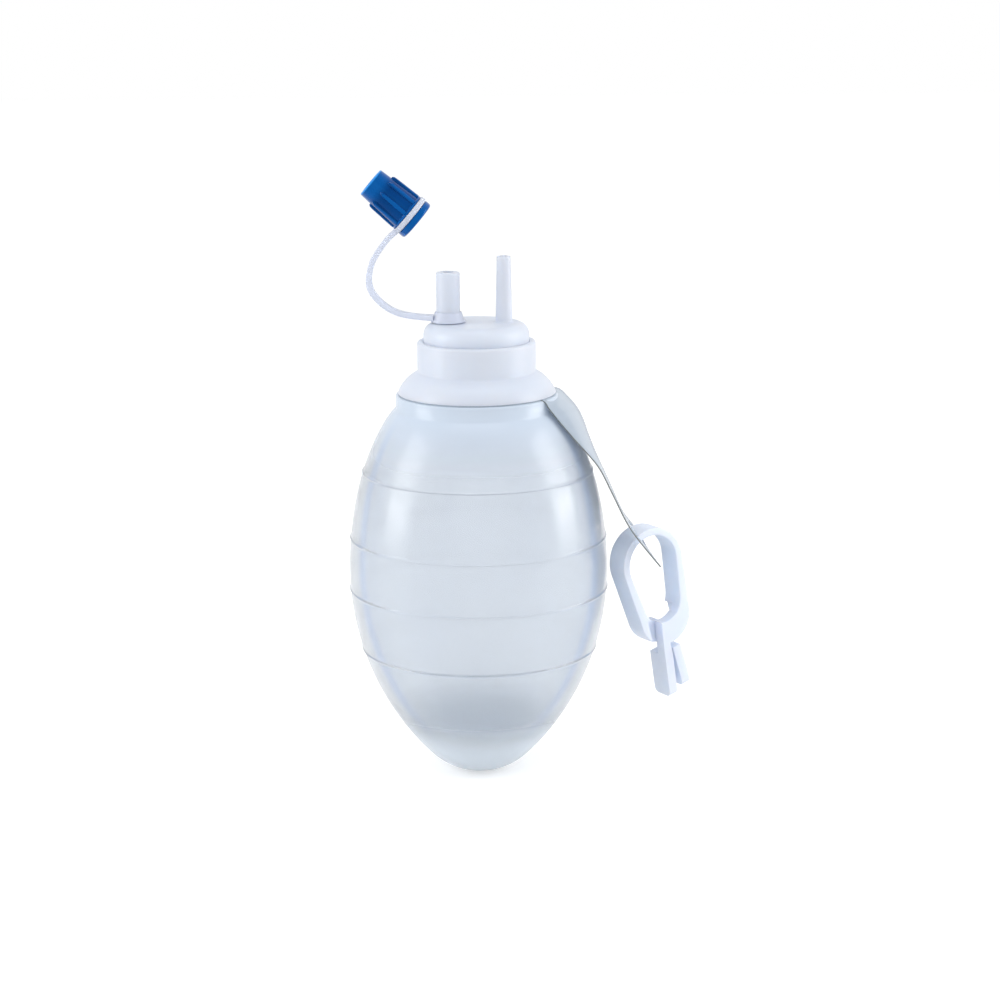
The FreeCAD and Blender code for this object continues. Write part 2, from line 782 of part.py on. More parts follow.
def make_cap():
    body = new_body("cap")
    groove_top = d.cap_flange_thickness + d.tether_thickness + d.cap_ring_side_gap * 2
    collar_top = groove_top + d.cap_collar_height
    points = [
        (0, 0),
        (d.cap_flange_radius, 0),
        (d.cap_flange_radius, d.cap_flange_thickness),
        (d.cap_groove_radius, d.cap_flange_thickness),
        (d.cap_groove_radius, groove_top),
        (d.cap_collar_radius, groove_top),
        (d.cap_barrel_radius, collar_top),
        (d.cap_nose_radius, d.cap_length),
        (d.cap_nose_recess_radius, d.cap_length),
        (d.cap_nose_recess_radius, d.cap_length - d.cap_nose_recess),
        (0, d.cap_length - d.cap_nose_recess),
    ]
    barrel = revolve(body, new_outline(body, "cap_outline", points), "barrel")
    mouth = ring_edges(barrel, d.cap_flange_radius.value, 0)
    barrel = fillet(body, barrel, "flange_round", mouth, d.cap_flange_round)
    nose = ring_edges(barrel, d.cap_nose_radius.value, d.cap_length.value)
    fillet(body, barrel, "nose_round", nose, d.cap_nose_round)
    points = [
        (d.cap_rib_root_radius, groove_top),
        (d.cap_rib_foot_radius, groove_top),
        (d.cap_rib_end_radius, d.cap_rib_end),
        (d.cap_rib_root_radius, d.cap_rib_end),
    ]
    rib = pad(body, new_outline(body, "rib_outline", points), "rib", d.cap_rib_width, both_ways=True)
    ribs = body.newObject("PartDesign::PolarPattern", "ribs")
    ribs.Originals = [rib]
    ribs.Axis = (origin_axis(body, "Z_Axis"), [""])
    ribs.Angle = 360
    ribs.setExpression("Occurrences", d.cap_rib_count.text)
    body.Tip = ribs
    doc.recompute()
    points = [
        (d.cap_stem_radius, 0),
        (d.cap_bore_radius, 0),
        (d.cap_bore_radius, d.cap_bore_depth),
        (d.cap_stem_radius, d.cap_bore_depth),
    ]
    revolve(body, new_outline(body, "bore_outline", points), "bore", "Groove")
    points = [
        (0, 0),
        (d.cap_mouth_radius, 0),
        (d.cap_mouth_radius, d.cap_stem_recess),
        (0, d.cap_stem_recess),
    ]
    revolve(body, new_outline(body, "mouth_outline", points), "mouth", "Groove")
    seat = FreeCAD.Placement(
        FreeCAD.Vector(-d.port_offset.value, 0, mouth_height.value), FreeCAD.Rotation()
    )
    body.Placement = swing_open().multiply(seat)
    return body


def origin_axis(body, role):
    return next(f for f in body.Origin.OriginFeatures if f.Role == role)


# The film strap
washer_middle = d.flange_bottom - d.film_thickness / 2
tail_end = (d.bulb_radius + d.tail_end_reach, d.shoulder_top - d.tail_end_drop)


def edge_steps(lip, fall, knee):
    """From the root under the flange, down over the lip, past the knee and out to the tail."""
    steps = [
        (shoulder_side + lip - d.tab_root,),
        (d.lip_round, -fall),
        (as_size(0),),
        (d.knee_radius, -knee),
        (as_size(0),),
        (d.tail_radius, fall + knee - d.tail_angle),
        (d.tail_run,),
    ]
    fit_runs(steps, (2, 4), (d.tab_root, washer_middle, 0), tail_end)
    return steps


def eye_centre():
    """The middle of the eye, a point of the tail measured back from its end."""
    y = (d.tab_far_side - d.tab_near_side) / 2
    x = tail_end[0] - d.eye_from_end * cosine(d.tail_angle)
    return x, y, tail_end[1] + d.eye_from_end * sine(d.tail_angle)


def make_hang_strap():
    washer_plate = doc.addObject("Part::Cylinder", "washer_plate")
    washer_plate.setExpression("Radius", d.washer_radius.text)
    washer_plate.setExpression("Height", d.film_thickness.text)
    washer_plate.setExpression("Placement.Base.z", seat_height.text)
    edges = []
    tab_edges = {
        "near": (-d.tab_near_side, edge_steps(d.near_lip, d.near_fall, d.near_knee)),
        "far": (d.tab_far_side, edge_steps(d.far_lip, d.far_fall, d.far_knee)),
    }
    for side, (y, steps) in tab_edges.items():
        sketch = doc.addObject("Sketcher::SketchObject", f"tab_{side}_edge")
        sketch.Placement = FreeCAD.Placement(
            FreeCAD.Vector(0, y.value, 0), FreeCAD.Rotation(FreeCAD.Vector(1, 0, 0), 90)
        )
        sketch.setExpression("Placement.Base.y", y.text)
        ribbon(sketch, d.tab_root, washer_middle, 0, steps, d.film_thickness)
        edges.append(sketch)
    tab = doc.addObject("Part::Loft", "tab")
    tab.Sections = edges
    tab.Solid = True
    tab.Ruled = True
    sheet_blank = doc.addObject("Part::Fuse", "strap_blank")
    sheet_blank.Base = washer_plate
    sheet_blank.Tool = tab
    neck_hole = doc.addObject("Part::Cylinder", "washer_hole")
    neck_hole.setExpression("Radius", (d.neck_radius + d.film_side_gap).text)
    neck_hole.setExpression("Height", (d.film_thickness * 3).text)
    neck_hole.setExpression("Placement.Base.z", (seat_height - d.film_thickness).text)
    eye = doc.addObject("Part::Extrusion", "eye_cutter")
    eye.Base = eye_outline()
    eye.DirMode = "Normal"
    eye.setExpression("LengthFwd", (d.eye_half_height * 2).text)
    eye.Symmetric = True
    eye.Solid = True
    holes = doc.addObject("Part::MultiFuse", "strap_holes")
    holes.Shapes = [neck_hole, eye]
    strap = doc.addObject("Part::Cut", "hang_strap")
    strap.Base = sheet_blank
    strap.Tool = holes
    strap.Label = "hang_strap"
    doc.recompute()
    return strap


def eye_outline():
    """A slot with round ends, drawn in its own plane and laid on the tail of the strap."""
    sketch = doc.addObject("Sketcher::SketchObject", "eye_outline")
    trail = Trail(sketch, -d.eye_half_straight, -d.eye_half_height, 0)
    for side in range(2):
        trail.run(d.eye_half_straight * 2)
        trail.bend(d.eye_half_height, 90)
        trail.bend(d.eye_half_height, 90)
    trail.close()
    x, y, z = eye_centre()
    across = FreeCAD.Rotation(FreeCAD.Vector(0, 0, 1), 90)
    lean = FreeCAD.Rotation(FreeCAD.Vector(0, 1, 0), d.tail_angle.value)
    spot = FreeCAD.Vector(x.value, y.value, z.value)
    sketch.Placement = FreeCAD.Placement(spot, lean.multiply(across))
    return sketch


# The clip: a split oval band whose two ends cross and run down as finger levers
def oval_trail(sketch, top, top_radius, drop, bottom_radius):
    """An upright oval from a top arc and a smaller bottom arc, joined by tangent sides."""
    lean_sine = (top_radius - bottom_radius) / drop
    lean_cosine = root(1 - lean_sine * lean_sine)
    high = (as_size(0), top)
    low = (as_size(0), top - drop)
    trail = Trail(sketch, top_radius * lean_cosine, top - top_radius * lean_sine)
    trail.arc_to(-top_radius * lean_cosine, top - top_radius * lean_sine, high, top_radius, 1)
    low_side = (bottom_radius * lean_cosine, low[1] - bottom_radius * lean_sine)
    trail.line_to(-low_side[0], low_side[1])
    trail.arc_to(low_side[0], low_side[1], low, bottom_radius, 1)
    return trail.close()


def make_clip():
    body = new_body("clip")
    half_band = d.band_thickness / 2
    half_depth = d.clip_depth / 2
    half_gap = d.clip_tail_gap / 2
    ring_top = half_band - d.ring_outer_top_radius
    hole_top_radius = d.ring_outer_top_radius - d.band_thickness
    outer = new_sketch(body, "ring_outer_outline")
    oval_trail(
        outer, ring_top, d.ring_outer_top_radius, d.ring_outer_drop, d.ring_outer_bottom_radius
    )
    pad(body, outer, "ring", d.clip_depth, both_ways=True)
    hole = new_sketch(body, "ring_hole_outline")
    oval_trail(hole, ring_top, hole_top_radius, d.ring_hole_drop, d.ring_hole_bottom_radius)
    pocket = body.newObject("PartDesign::Pocket", "ring_hole")
    pocket.Profile = hole
    pocket.Type = "ThroughAll"
    pocket.Midplane = True
    doc.recompute()
    face_edges = []
    for number, edge in enumerate(pocket.Shape.Edges, start=1):
        box = edge.BoundBox
        if box.YLength < MATCH and abs(abs(box.YMin) - half_depth.value) < MATCH:
            face_edges.append(f"Edge{number}")
    fillet(body, pocket, "ring_edge_round", face_edges, d.clip_edge_round)
    split_height = d.lever_top - d.split_top
    primitive(
        body, "SubtractiveBox", "front_split", d.front_split_left, -half_depth, -d.lever_top,
        Length=d.front_split_right - d.front_split_left, Width=half_depth + half_gap,
        Height=split_height,
    )
    primitive(
        body, "SubtractiveBox", "back_split", d.front_split_right, -half_gap, -d.lever_top,
        Length=d.back_split_right - d.front_split_right, Width=half_depth + half_gap,
        Height=split_height,
    )
    ring_foot = ring_top - d.ring_outer_drop - d.ring_outer_bottom_radius
    hole_foot = ring_top - d.ring_hole_drop - d.ring_hole_bottom_radius
    half_lever = d.lever_thickness / 2
    near_left = d.near_lever_top_side - half_lever
    near_right = d.near_lever_top_side + half_lever
    sketch = new_sketch(body, "front_neck_outline", height=half_gap)
    trail = Trail(sketch, d.front_split_right, hole_foot)
    trail.line_to(near_left, -d.lever_top)
    trail.line_to(near_right, -d.lever_top)
    trail.line_to(near_right, ring_foot)
    trail.line_to(d.front_split_right + d.lever_thickness, hole_foot - d.band_thickness)
    trail.close()
    pad(body, sketch, "front_neck", half_depth - half_gap)
    far_top = d.lever_top - d.far_lever_rise
    far_left = d.far_lever_top_side - half_lever
    sketch = new_sketch(body, "back_neck_outline", height=-half_gap)
    trail = Trail(sketch, d.front_split_right - half_lever, hole_foot)
    trail.line_to(d.front_split_right - half_lever, ring_foot + d.band_thickness)
    trail.line_to(d.front_split_right, ring_foot + half_band / 2)
    trail.line_to(far_left, ring_foot - half_gap)
    trail.line_to(far_left, -far_top)
    trail.line_to(d.far_lever_top_side + half_lever, -far_top)
    trail.line_to(d.front_split_right + half_lever, hole_foot)
    trail.close()
    pad(body, sketch, "back_neck", half_depth - half_gap, backwards=True)
    lever(body, "near_lever", d.lever_top, d.near_lever_top_side, d.near_lever_foot_side)
    lever(body, "far_lever", far_top, d.far_lever_top_side, d.far_lever_foot_side)
    tilt = FreeCAD.Rotation(FreeCAD.Vector(0, 1, 0), -d.clip_tilt.value)
    yaw = FreeCAD.Rotation(FreeCAD.Vector(0, 0, 1), d.clip_yaw.value)
    x, y, z = eye_centre()
    body.Placement = FreeCAD.Placement(
        FreeCAD.Vector(x.value, y.value, z.value), yaw.multiply(tilt)
    )
    return body


def lever(body, name, top, top_side, foot_side):
    half = d.lever_thickness / 2
    foot = top + d.lever_length
    points = [
        (top_side - half, -top),
        (foot_side - half, -foot),
        (foot_side + half, -foot),
        (top_side + half, -top),
    ]
    sketch = new_outline(body, f"{name}_outline", points)
    plate = pad(body, sketch, name, d.clip_depth, both_ways=True)
    # the two foot edges across the thickness are rounded
    edges = []
    for number, edge in enumerate(plate.Shape.Edges, start=1):
        box = edge.BoundBox
        at_foot = abs(box.ZMin + foot.value) < MATCH and box.ZLength < MATCH
        if at_foot and box.YLength < MATCH and abs(box.XLength - 2 * half.value) < MATCH:
            edges.append(f"Edge{number}")
    return fillet(body, plate, f"{name}_foot_round", edges, d.lever_corner_round)


pieces = [
    make_bulb(),
    make_neck_fitting(),
    make_port_insert(),
    make_valve(),
    make_tether_spout_end(),
    make_tether_cap_end(),
    make_cap(),
    make_hang_strap(),
    make_clip(),
]
doc.recompute()

# Every object is checked before anything is written
failed = [item.Name for item in doc.Objects if {"Invalid", "Error"} & set(item.State)]
if failed:
    raise RuntimeError(f"these objects failed: {failed}")
for piece in pieces:
    shape = piece.Shape
    if shape.isNull() or not shape.isValid() or len(shape.Solids) != 1:
        raise RuntimeError(f"{piece.Label} is not one valid solid: {len(shape.Solids)}")
for piece in pieces:
    piece.Shape.exportStep(f"parts/{piece.Label}.step")
    box = piece.Shape.BoundBox
    size = " x ".join(f"{length:.1f}" for length in (box.XLength, box.YLength, box.ZLength))
    print(f"{piece.Label}: {piece.Shape.Volume:.1f} mm3, {size} mm")
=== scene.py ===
import math

import bmesh
import bpy
from mathutils import Matrix, Vector


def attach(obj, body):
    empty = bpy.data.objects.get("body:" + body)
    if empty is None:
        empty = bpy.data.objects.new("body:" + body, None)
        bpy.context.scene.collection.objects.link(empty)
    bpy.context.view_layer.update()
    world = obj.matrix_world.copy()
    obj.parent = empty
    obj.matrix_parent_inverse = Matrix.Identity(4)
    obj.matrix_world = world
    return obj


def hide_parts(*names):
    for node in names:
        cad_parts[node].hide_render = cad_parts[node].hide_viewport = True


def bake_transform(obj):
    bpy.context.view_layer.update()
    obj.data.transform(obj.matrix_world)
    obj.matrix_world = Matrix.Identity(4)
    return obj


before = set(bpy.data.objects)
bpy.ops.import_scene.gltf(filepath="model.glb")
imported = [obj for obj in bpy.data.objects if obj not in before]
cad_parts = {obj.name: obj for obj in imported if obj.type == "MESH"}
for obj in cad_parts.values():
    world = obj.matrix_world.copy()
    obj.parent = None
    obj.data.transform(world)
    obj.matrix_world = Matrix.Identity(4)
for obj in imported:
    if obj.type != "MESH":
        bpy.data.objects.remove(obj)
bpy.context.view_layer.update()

MM = 0.001

# The object's own sizes in millimetres, in the frame of the CAD model
BULB_RADIUS = 33.5
WIDEST_HEIGHT = -52.615
BULB_WALL = 2.5
LOWER_FLANK_RADIUS = 69.8
UPPER_FLANK_RADIUS, UPPER_FLANK_TURN = 94.0, 12.7
HAUNCH_RADIUS, HAUNCH_TURN = 63.6, 17.3
SHOULDER_RADIUS = 21.4
MARK_HEIGHTS = (-73.0, -57.0, -43.4, -26.1)
MARK_RISE, MARK_SPREAD = 0.3, 0.27
SEAT_HEIGHT = -6.25
NECK_RADIUS, NECK_BORE, NECK_TOP = 12.9, 11.4, 6.0
PORT_OFFSET = 7.1
PIVOT = (-27.07, 22.27)
CAP_SWING = math.radians(49.3)
CAP_MOUTH_CLOSED = (-7.1, 22.9)
FLOOR_HEIGHT = -107.35
TURN_STEPS = 160


# Mesh helpers
def new_object(name, mesh):
    piece = bpy.data.objects.new(name, mesh)
    bpy.context.scene.collection.objects.link(piece)
    return piece


def finish_mesh(bm, name, sharp=35.0):
    bmesh.ops.remove_doubles(bm, verts=bm.verts, dist=1e-7)
    bmesh.ops.recalc_face_normals(bm, faces=bm.faces)
    mesh = bpy.data.meshes.new(name)
    bm.to_mesh(mesh)
    bm.free()
    mesh.polygons.foreach_set("use_smooth", [True] * len(mesh.polygons))
    mesh.set_sharp_from_angle(angle=math.radians(sharp))
    return mesh


def add_lathe(bm, profile, centre=(0.0, 0.0), steps=TURN_STEPS, close=True):
    """Turn a profile of (radius, height) points about an upright axis into bm."""
    rings = []
    for radius, height in profile:
        if radius < 1e-6:
            vertex = bm.verts.new((centre[0] * MM, centre[1] * MM, height * MM))
            rings.append([vertex] * steps)
            continue
        ring = []
        for number in range(steps):
            angle = 2 * math.pi * number / steps
            x = centre[0] + radius * math.cos(angle)
            y = centre[1] + radius * math.sin(angle)
            ring.append(bm.verts.new((x * MM, y * MM, height * MM)))
        rings.append(ring)
    pairs = list(zip(rings, rings[1:]))
    if close:
        pairs.append((rings[-1], rings[0]))
    for low, high in pairs:
        if low[0] is low[1] and high[0] is high[1]:
            continue
        for number in range(steps):
            after = (number + 1) % steps
            corners = []
            for vertex in (low[number], low[after], high[after], high[number]):
                if vertex not in corners:
                    corners.append(vertex)
            if len(corners) > 2:
                bm.faces.new(corners)


def rounded(corners, steps=5, closed=True):
    """Points along an outline of (x, z, round) corners, each rounded to its own radius."""
    points = []
    count = len(corners)
    for number, (x, z, radius) in enumerate(corners):
        here = Vector((x, z))
        if radius <= 0 or (not closed and number in (0, count - 1)):
            points.append((x, z))
            continue
        before = Vector(corners[number - 1][:2]) - here
        after = Vector(corners[(number + 1) % count][:2]) - here
        opening = before.angle(after)
        reach = radius / math.tan(opening / 2)
        reach = min(reach, before.length * 0.499, after.length * 0.499)
        start = here + before.normalized() * reach
        end = here + after.normalized() * reach
        for step in range(steps + 1):
            t = step / steps
            point = (1 - t) ** 2 * start + 2 * t * (1 - t) * here + t * t * end
            points.append((point.x, point.y))
    return points


def arc_points(centre, radius, start, end, steps):
    """Points on an arc in the upright plane, angles in degrees from +X towards +Z."""
    points = []
    for step in range(steps + 1):
        angle = math.radians(start + (end - start) * step / steps)
        points.append((centre[0] + radius * math.cos(angle), centre[1] + radius * math.sin(angle)))
    return points


def smooth_line(points, per_span=8):
    """A smooth curve through points, as a list of Vectors."""
    pts = [Vector(p) for p in points]
    ends = [pts[0] * 2 - pts[1], *pts, pts[-1] * 2 - pts[-2]]
    line = []
    for a, b, c, d in zip(ends, ends[1:], ends[2:], ends[3:]):
        for step in range(per_span):
            t = step / per_span
            line.append(
                0.5 * (2 * b + (c - a) * t + (2 * a - 5 * b + 4 * c - d) * t ** 2
                       + (3 * b - a - 3 * c + d) * t ** 3)
            )
    line.append(pts[-1])
    return line


# Material helpers
def new_material(name):
    material = bpy.data.materials.new(name)
    material.use_nodes = True
    nodes = material.node_tree.nodes
    return material, nodes, material.node_tree.links, nodes["Principled BSDF"]


def add_noise(nodes, links, scale, detail=3.0, stretch=(1, 1, 1)):
    place = nodes.new("ShaderNodeTexCoord")
    mapping = nodes.new("ShaderNodeMapping")
    mapping.inputs["Scale"].default_value = stretch
    noise = nodes.new("ShaderNodeTexNoise")
    noise.inputs["Scale"].default_value = scale
    noise.inputs["Detail"].default_value = detail
    links.new(place.outputs["Object"], mapping.inputs["Vector"])
    links.new(mapping.outputs["Vector"], noise.inputs["Vector"])
    return noise


def add_ramp(nodes, links, source, stops):
    ramp = nodes.new("ShaderNodeValToRGB")
    while len(ramp.color_ramp.elements) < len(stops):
        ramp.color_ramp.elements.new(0.5)
    for element, (spot, colour) in zip(ramp.color_ramp.elements, stops):
        element.position = spot
        element.color = (*colour, 1.0) if len(colour) == 3 else colour
    links.new(source, ramp.inputs["Fac"])
    return ramp.outputs["Color"]


def add_bump(nodes, links, shader, noise, strength, distance):
    bump = nodes.new("ShaderNodeBump")
    bump.inputs["Strength"].default_value = strength
    bump.inputs["Distance"].default_value = distance
    links.new(noise.outputs["Fac"], bump.inputs["Height"])
    links.new(bump.outputs["Normal"], shader.inputs["Normal"])


def grey(value):
    return (value, value, value)


def add_math(nodes, links, operation, one, two):
    """The outcome of an operation on two sockets."""
    both = nodes.new("ShaderNodeMath")
    both.operation = operation
    links.new(one, both.inputs[0])
    links.new(two, both.inputs[1])
    return both.outputs[0]


def add_range(nodes, links, source, low, high, at_low=0.0, at_high=1.0):
    """A value that changes smoothly while a length goes from low to high, both in millimetres."""
    level = nodes.new("ShaderNodeMapRange")
    level.interpolation_type = "SMOOTHSTEP"
    for name, value in (("From Min", low * MM), ("From Max", high * MM),
                        ("To Min", at_low), ("To Max", at_high)):
        level.inputs[name].default_value = value
    links.new(source, level.inputs["Value"])
    return level.outputs["Result"]


def by_height(nodes, links, heights, at_low, at_high):
    """A value that changes with height, between two heights in millimetres."""
    place = nodes.new("ShaderNodeTexCoord")
    split = nodes.new("ShaderNodeSeparateXYZ")
    links.new(place.outputs["Object"], split.inputs["Vector"])
    return add_range(nodes, links, split.outputs["Z"], *heights, at_low, at_high)


def mix_colour(nodes, links, share, first, second):
    """A colour socket turned towards a second colour by a share from 0 to 1."""
    mix = nodes.new("ShaderNodeMix")
    mix.data_type = "RGBA"
    links.new(share, mix.inputs["Factor"])
    links.new(first, mix.inputs["A"])
    mix.inputs["B"].default_value = (*second, 1.0)
    return mix.outputs["Result"]


# The bulb's shares of clear light, and the heights between which it turns milky and its painted edge
# shade fades
CLEAR_WALL, THICK_SHOULDER, THICK_BASE = 0.8, 0.15, 0.25
# The third tint is painted shade: the darker blue refraction strip just inside the bulb's outline
SHOULDER_TINT, BASE_TINT, PAINTED_EDGE_SHADE_TINT = (0.63, 0.72, 0.84), (0.82, 0.9, 0.98), (0.63, 0.74, 0.95)
SHOULDER_HEIGHTS, BASE_HEIGHTS, PAINTED_EDGE_SHADE_FOOT = (-26.0, -9.0), (-99.0, -87.0), (-97.0, -80.0)


def clear_silicone():
    """Soft moulded silicone: clear with a faint blue cast, milkier where it is thick, with a painted
    shade strip just inside its outline, a bluer darkening that stands in for refraction there."""
    material, nodes, links, shader = new_material("clear_silicone")
    flow = add_noise(nodes, links, 55.0, 3.0, (1.0, 1.0, 0.35))
    tint = add_ramp(nodes, links, flow.outputs["Fac"],
                    [(0.3, (0.81, 0.85, 0.902)), (0.7, (0.838, 0.873, 0.915))])
    facing = nodes.new("ShaderNodeLayerWeight")
    facing.inputs["Blend"].default_value = 0.5
    # painted shade: a darker blue strip by facing angle just inside the outline, in place of refraction
    strip = add_ramp(nodes, links, facing.outputs["Facing"],
                     [(0.5, grey(0.0)), (0.56, grey(0.9)), (0.6, grey(0.9)), (0.67, grey(0.0))])
    sides = by_height(nodes, links, PAINTED_EDGE_SHADE_FOOT, 0.15, 1.0)
    strip = add_math(nodes, links, "MULTIPLY", strip, sides)
    tint = mix_colour(nodes, links, strip, tint, PAINTED_EDGE_SHADE_TINT)
    near_shoulder = by_height(nodes, links, SHOULDER_HEIGHTS, 0.0, 1.0)
    tint = mix_colour(nodes, links, near_shoulder, tint, SHOULDER_TINT)
    near_base = by_height(nodes, links, BASE_HEIGHTS, 1.0, 0.0)
    tint = mix_colour(nodes, links, near_base, tint, BASE_TINT)
    links.new(tint, shader.inputs["Base Color"])
    gloss = add_ramp(nodes, links, flow.outputs["Fac"], [(0.25, grey(0.18)), (0.75, grey(0.25))])
    links.new(gloss, shader.inputs["Roughness"])
    shoulder = by_height(nodes, links, SHOULDER_HEIGHTS, CLEAR_WALL, THICK_SHOULDER)
    base = by_height(nodes, links, BASE_HEIGHTS, THICK_BASE, CLEAR_WALL)
    clear = add_math(nodes, links, "MINIMUM", shoulder, base)
    links.new(clear, shader.inputs["Transmission Weight"])
    shader.inputs["IOR"].default_value = 1.41
    ripple = add_noise(nodes, links, 90.0, 2.0, (1.0, 1.0, 0.4))
    add_bump(nodes, links, shader, ripple, 0.12, 0.0006)
    return material


def moulded_plastic(name, light, dark, rough, clear=0.0, soak=0.0, grip=0.08):
    """Milky plastic. Clear is the share of light that goes through, soak the share that spreads
    inside, and grip the strength of its fine grain."""
    material, nodes, links, shader = new_material(name)
    cloud = add_noise(nodes, links, 70.0, 4.0)
    tint = add_ramp(nodes, links, cloud.outputs["Fac"], [(0.3, dark), (0.7, light)])
    links.new(tint, shader.inputs["Base Color"])
    gloss = add_ramp(nodes, links, cloud.outputs["Fac"],
                     [(0.3, grey(rough - 0.04)), (0.7, grey(rough + 0.06))])
    links.new(gloss, shader.inputs["Roughness"])
    shader.inputs["Transmission Weight"].default_value = clear
    shader.inputs["IOR"].default_value = 1.45
    shader.inputs["Subsurface Weight"].default_value = soak
    shader.inputs["Subsurface Radius"].default_value = (0.004, 0.005, 0.006)
    shader.inputs["Subsurface Scale"].default_value = 1.0
    grain = add_noise(nodes, links, 900.0, 2.0)
    add_bump(nodes, links, shader, grain, grip, 0.0002)
    return material


def cap_placement():
    """From the closed cap's own upright axis, mouth at the origin, to the open pose."""
    pivot = Vector((PIVOT[0], 0, PIVOT[1])) * MM
    mouth = Vector((CAP_MOUTH_CLOSED[0], 0, CAP_MOUTH_CLOSED[1])) * MM
    swing = Matrix.Rotation(-CAP_SWING, 4, "Y")
    return Matrix.Translation(pivot) @ swing @ Matrix.Translation(mouth - pivot)


def blue_cap_plastic():
    """Deep blue with painted shade between its ribs, lighter on ribs and nose, and a painted highlight
    on the nose's rim.
    """
    material, nodes, links, shader = new_material("blue_cap_plastic")
    cloud = add_noise(nodes, links, 120.0, 3.0)
    # painted shade: this deepest blue is left between the ribs, where shade falls
    tint = add_ramp(nodes, links, cloud.outputs["Fac"],
                    [(0.3, (0.001, 0.03, 0.155)), (0.7, (0.001, 0.042, 0.2))])
    place = nodes.new("ShaderNodeTexCoord")
    # own: from the mouth along the cap's axis, out: the distance from that axis
    own = nodes.new("ShaderNodeMapping")
    own.vector_type = "TEXTURE"
    own.inputs["Location"].default_value = cap_placement().to_translation()
    own.inputs["Rotation"].default_value = cap_placement().to_euler()
    links.new(place.outputs["Object"], own.inputs["Vector"])
    split = nodes.new("ShaderNodeSeparateXYZ")
    links.new(own.outputs["Vector"], split.inputs["Vector"])
    flat = nodes.new("ShaderNodeVectorMath")
    flat.operation = "MULTIPLY"
    flat.inputs[1].default_value = (1, 1, 0)
    links.new(own.outputs["Vector"], flat.inputs[0])
    out = nodes.new("ShaderNodeVectorMath")
    out.operation = "LENGTH"
    links.new(flat.outputs["Vector"], out.inputs[0])
    rib = add_range(nodes, links, out.outputs["Value"], 4.6, 5.05)
    nose = add_range(nodes, links, split.outputs["Z"], 10.6, 13.6)
    outside = add_range(nodes, links, out.outputs["Value"], 3.0, 3.3)
    nose = add_math(nodes, links, "MULTIPLY", nose, outside)
    # painted highlight: the nose's rounded rim turns a light blue
    painted_rim_highlight = add_range(nodes, links, split.outputs["Z"], 15.0, 15.35)
    lit = add_math(nodes, links, "MAXIMUM", rib, nose)
    tint = mix_colour(nodes, links, lit, tint, (0.002, 0.078, 0.31))
    tint = mix_colour(nodes, links, painted_rim_highlight, tint, (0.03, 0.27, 0.72))
    links.new(tint, shader.inputs["Base Color"])
    gloss = add_ramp(nodes, links, cloud.outputs["Fac"], [(0.3, grey(0.12)), (0.7, grey(0.2))])
    links.new(gloss, shader.inputs["Roughness"])
    shader.inputs["Specular IOR Level"].default_value = 0.42
    shader.inputs["Specular Tint"].default_value = (0.07, 0.45, 1.0, 1.0)
    grain = add_noise(nodes, links, 700.0, 2.0)
    add_bump(nodes, links, shader, grain, 0.08, 0.0002)
    return material


def clear_film():
    """Clear film, a little grey, with soft waves from the way it hangs."""
    material, nodes, links, shader = new_material("clear_film")
    cloud = add_noise(nodes, links, 60.0, 3.0, (1.0, 0.4, 1.0))
    tint = add_ramp(nodes, links, cloud.outputs["Fac"],
                    [(0.3, (0.43, 0.51, 0.61)), (0.7, (0.48, 0.56, 0.66))])
    links.new(tint, shader.inputs["Base Color"])
    shader.inputs["Roughness"].default_value = 0.22
    shader.inputs["Alpha"].default_value = 0.7
    shader.inputs["IOR"].default_value = 1.5
    add_bump(nodes, links, shader, cloud, 0.2, 0.0008)
    return material


def cut_film_edge():
    """The film's cut edge, painted dark grey: painted shade for the way the edge gathers the sheet's
    light and looks darker.
    """
    material, nodes, links, shader = new_material("cut_film_edge")
    grain = add_noise(nodes, links, 400.0, 3.0)
    # painted shade: the edge's dark grey
    tint = add_ramp(nodes, links, grain.outputs["Fac"],
                    [(0.3, (0.14, 0.16, 0.165)), (0.7, (0.2, 0.22, 0.225))])
    links.new(tint, shader.inputs["Base Color"])
    shader.inputs["Roughness"].default_value = 0.35
    add_bump(nodes, links, shader, grain, 0.15, 0.0002)
    return material


SILICONE = clear_silicone()
NECK_PLASTIC = moulded_plastic(
    "milky_neck_plastic", (0.77, 0.83, 0.955), (0.73, 0.795, 0.93), 0.33, clear=0.2, soak=0.3)
VALVE_RUBBER = moulded_plastic(
    "milky_valve_rubber", (0.84, 0.88, 0.94), (0.78, 0.83, 0.9), 0.45, soak=0.6)
TETHER_PLASTIC = moulded_plastic(
    "milky_tether_plastic", (0.79, 0.84, 0.96), (0.76, 0.81, 0.94), 0.33, clear=0.35, grip=0.02)
CLIP_PLASTIC = moulded_plastic(
    "pale_clip_plastic", (0.73, 0.79, 0.95), (0.69, 0.755, 0.93), 0.36, soak=0.5)
CAP_PLASTIC = blue_cap_plastic()
FILM = clear_film()
FILM_EDGE = cut_film_edge()


def dress(piece, material):
    piece.data.materials.clear()
    piece.data.materials.append(material)


